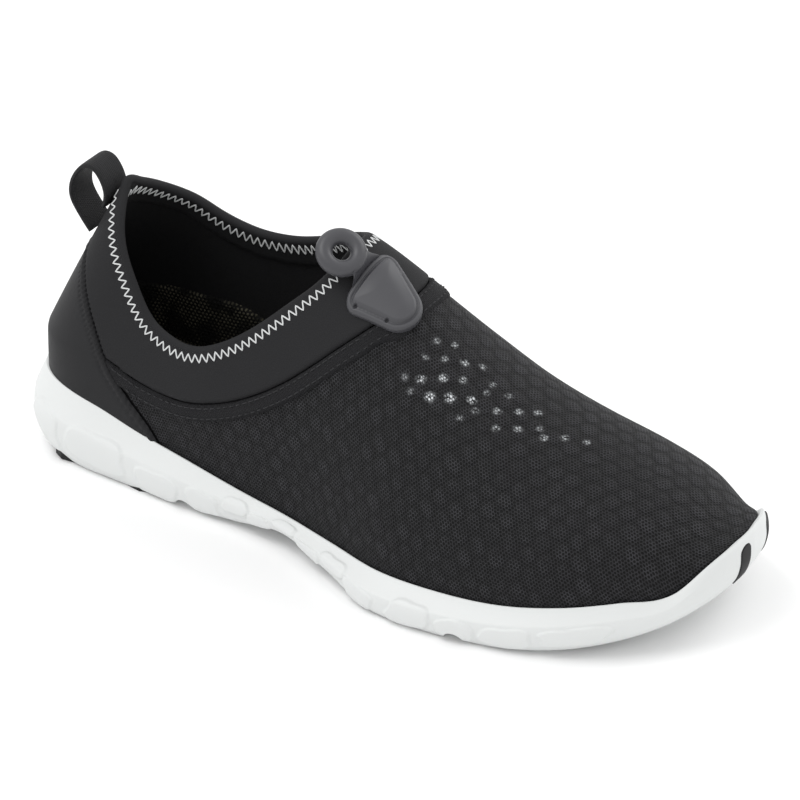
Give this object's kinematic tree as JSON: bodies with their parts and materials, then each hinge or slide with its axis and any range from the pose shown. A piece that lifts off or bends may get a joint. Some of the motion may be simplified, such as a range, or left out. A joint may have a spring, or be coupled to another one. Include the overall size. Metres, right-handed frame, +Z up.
{
  "type": "water shoe",
  "caption": "Slip-on water shoe for the right foot, black knit mesh with a stretch cuff, grey rubber throat tab and ring, white foam sole with dark rubber treads.",
  "frame": {"origin": "On the floor, under the middle of the heel, where the heel tread rests.", "axes": "+X runs along the shoe to the toe, +Y to the inner side of the foot, +Z up from the floor."},
  "size_m": [0.2929, 0.1111, 0.1123],
  "materials": {
    "foam": "smooth moulded foam, off-white",
    "tread_rubber": "matte black rubber",
    "insole_fabric": "dark woven cloth over foam",
    "mesh_fabric": "fine black knit mesh over a layer with round holes",
    "cuff_fabric": "smooth dark stretch fabric with a white zigzag thread",
    "tape_fabric": "dark tape with two rows of stitches",
    "counter_fabric": "smooth dark laminated fabric",
    "loop_webbing": "dark grey webbing",
    "tab_rubber": "satin dark grey moulded rubber"
  },
  "bodies": {
    "root": {"sole": "foam", "tread_heel": "tread_rubber", "tread_ball": "tread_rubber", "tread_toe": "tread_rubber", "toe_tab_outer": "tread_rubber", "toe_tab_inner": "tread_rubber", "insole": "insole_fabric", "upper": "mesh_fabric", "cuff": "cuff_fabric", "seam_tape": "tape_fabric", "heel_counter": "counter_fabric", "pull_loop": "loop_webbing", "throat_tab": "tab_rubber"}
  },
  "joints": []
}
